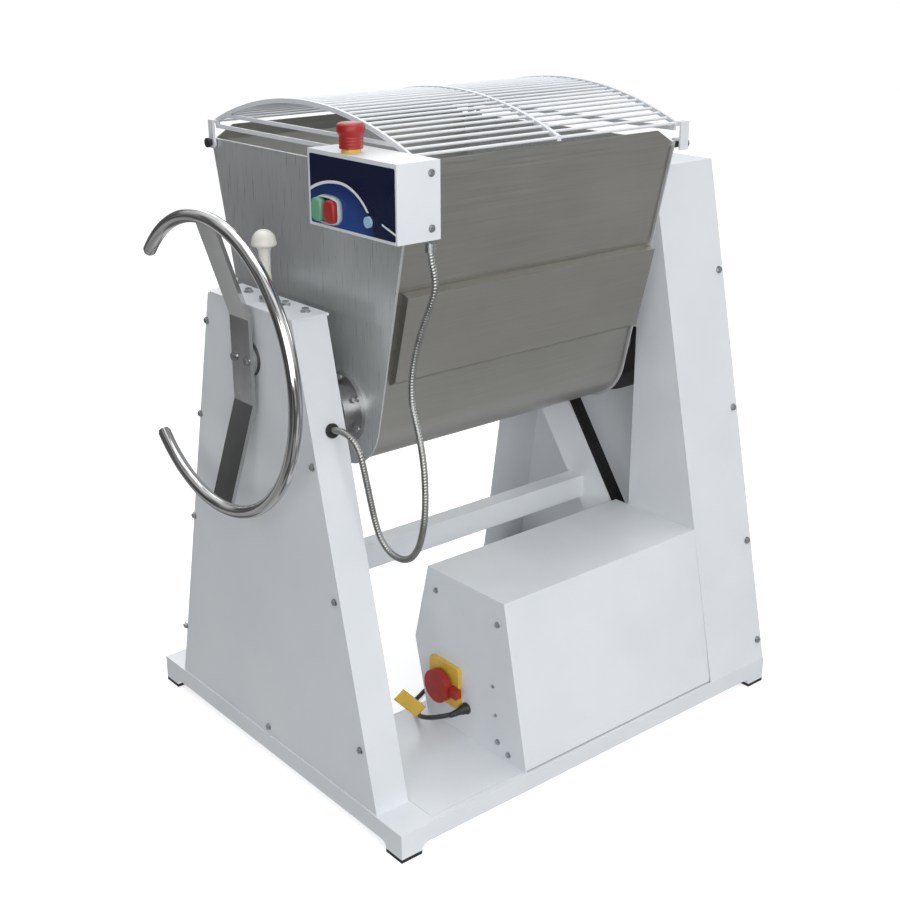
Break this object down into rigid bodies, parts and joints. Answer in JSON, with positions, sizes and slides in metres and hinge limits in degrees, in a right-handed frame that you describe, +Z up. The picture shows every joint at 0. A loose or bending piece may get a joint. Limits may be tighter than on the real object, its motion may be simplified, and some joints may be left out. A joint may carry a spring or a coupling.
{
  "type": "tilting dough mixer",
  "caption": "Floor-standing tilting dough mixer: stainless trough with two mixing shafts, arched wire lid, handwheel, side stands and covered belt drive.",
  "frame": {"origin": "on the floor, under the middle of the machine's bounding box", "axes": "+X to the operator's right towards the belt drive, +Y from the front to the back, +Z up"},
  "size_m": [1.088, 0.844, 1.272],
  "materials": {
    "white_paint": "smooth white powder coat",
    "pad_rubber": "matt black",
    "bolt_steel": "bright zinc",
    "bearing_iron": "machined and oiled",
    "motor_paint": "grey blue enamel",
    "dark_iron": "dark, satin",
    "shaft_steel": "turned, satin",
    "tub_steel": "stainless sheet, fine brushed",
    "wheel_chrome": "polished",
    "yellow_plastic": "satin",
    "red_plastic": "satin",
    "green_plastic": "satin",
    "black_plastic": "matt",
    "black_cable": "matt",
    "flex_steel": "spiral metal hose",
    "knob_plastic": "off white",
    "lamp_plastic": "pale blue lens"
  },
  "bodies": {
    "frame": {"base_frame": "white_paint", "base_plate": "white_paint", "rubber_pads": "pad_rubber", "stand_left_shell": "white_paint", "stand_left_inner": "white_paint", "stand_left_top": "white_paint", "frame_bolts": "bolt_steel", "bearing_left": "bearing_iron", "cross_bar": "white_paint", "stand_right_side": "white_paint", "stand_right_front": "white_paint", "stand_right_inner": "white_paint", "bearing_plate": "white_paint", "drive_brace": "white_paint", "stand_right_rear": "white_paint", "bearing_right": "bearing_iron", "motor_cover": "white_paint", "motor_cover_end": "white_paint", "gearmotor": "motor_paint", "drive_belts": "pad_rubber", "isolator_plate": "yellow_plastic", "cord_gland": "black_plastic", "mains_cord": "black_cable", "mains_coil": "black_cable", "mains_plug": "black_plastic", "cord_tag": "yellow_plastic", "conduit_grommet": "black_plastic", "conduit": "flex_steel", "plunger_guide": "bolt_steel"},
    "motor_rotor": {"motor_pulley": "dark_iron"},
    "isolator": {"isolator_knob": "red_plastic"},
    "plunger": {"plunger_pin": "bolt_steel", "plunger_knob": "knob_plastic"},
    "tub": {"wheel_ring": "wheel_chrome", "wheel_spoke": "wheel_chrome", "tilt_shaft": "shaft_steel", "index_disc": "shaft_steel", "gear_case": "dark_iron", "tub_shell": "tub_steel", "tub_end_left": "tub_steel", "tub_end_right": "tub_steel", "jacket_front": "tub_steel", "jacket_rear": "tub_steel", "shaft_covers": "shaft_steel", "tub_bolts": "bolt_steel", "lid_pins": "black_plastic", "control_box": "white_paint", "button_bezel": "black_plastic", "estop_collar": "yellow_plastic", "pilot_lamp": "lamp_plastic", "conduit_gland": "bolt_steel"},
    "lid": {"lid_grid": "white_paint", "lid_lugs": "white_paint"},
    "estop": {"estop_button": "red_plastic"},
    "start": {"start_button": "green_plastic"},
    "stop": {"stop_button": "red_plastic"},
    "mixer_front": {"agitator_front": "shaft_steel"},
    "mixer_rear": {"agitator_rear": "shaft_steel"},
    "main_drive": {"drive_shaft": "shaft_steel", "drive_pulley": "dark_iron"}
  },
  "joints": [
    {"name": "tub_tilt", "type": "hinge", "parent": "frame", "child": "tub", "pos_m": [0, 0, 0.834], "axis": [1, 0, 0], "range_deg": [0, 85], "deforming": ["conduit"]},
    {"name": "lid_hinge", "type": "hinge", "parent": "tub", "child": "lid", "pos_m": [0, 0.297, 1.17], "axis": [-1, 0, 0], "range_deg": [0, 100]},
    {"name": "index_plunger", "type": "slide", "parent": "frame", "child": "plunger", "axis": [0, 0, 1], "range_m": [-0.016, 0]},
    {"name": "estop_push", "type": "slide", "parent": "tub", "child": "estop", "axis": [0, 0, -1], "range_m": [0, 0.005]},
    {"name": "start_push", "type": "slide", "parent": "tub", "child": "start", "axis": [1, 0, 0], "range_m": [0, 0.003], "stiffness_N_per_m": 500, "springref_m": -0.001},
    {"name": "stop_push", "type": "slide", "parent": "tub", "child": "stop", "axis": [1, 0, 0], "range_m": [0, 0.003], "stiffness_N_per_m": 500, "springref_m": -0.001},
    {"name": "isolator_turn", "type": "hinge", "parent": "frame", "child": "isolator", "pos_m": [-0.17, -0.186, 0.152], "axis": [-1, 0, 0], "range_deg": [0, 90]},
    {"name": "main_drive_spin", "type": "hinge", "parent": "tub", "child": "main_drive", "pos_m": [0.4, 0, 0.834], "axis": [1, 0, 0], "continuous": true},
    {"name": "mixer_front_spin", "type": "hinge", "parent": "tub", "child": "mixer_front", "pos_m": [0, -0.099, 0.74075], "axis": [1, 0, 0], "continuous": true},
    {"name": "mixer_rear_spin", "type": "hinge", "parent": "tub", "child": "mixer_rear", "pos_m": [0, 0.099, 0.74075], "axis": [1, 0, 0], "continuous": true},
    {"name": "motor_spin", "type": "hinge", "parent": "frame", "child": "motor_rotor", "pos_m": [0.4, -0.218, 0.207], "axis": [1, 0, 0], "continuous": true}
  ],
  "couplings": [
    {"joint": "mixer_front_spin", "follows": "main_drive_spin", "ratio": -1.2667},
    {"joint": "mixer_rear_spin", "follows": "main_drive_spin", "ratio": -1.2667},
    {"joint": "motor_spin", "follows": "main_drive_spin", "ratio": 5.6173}
  ]
}
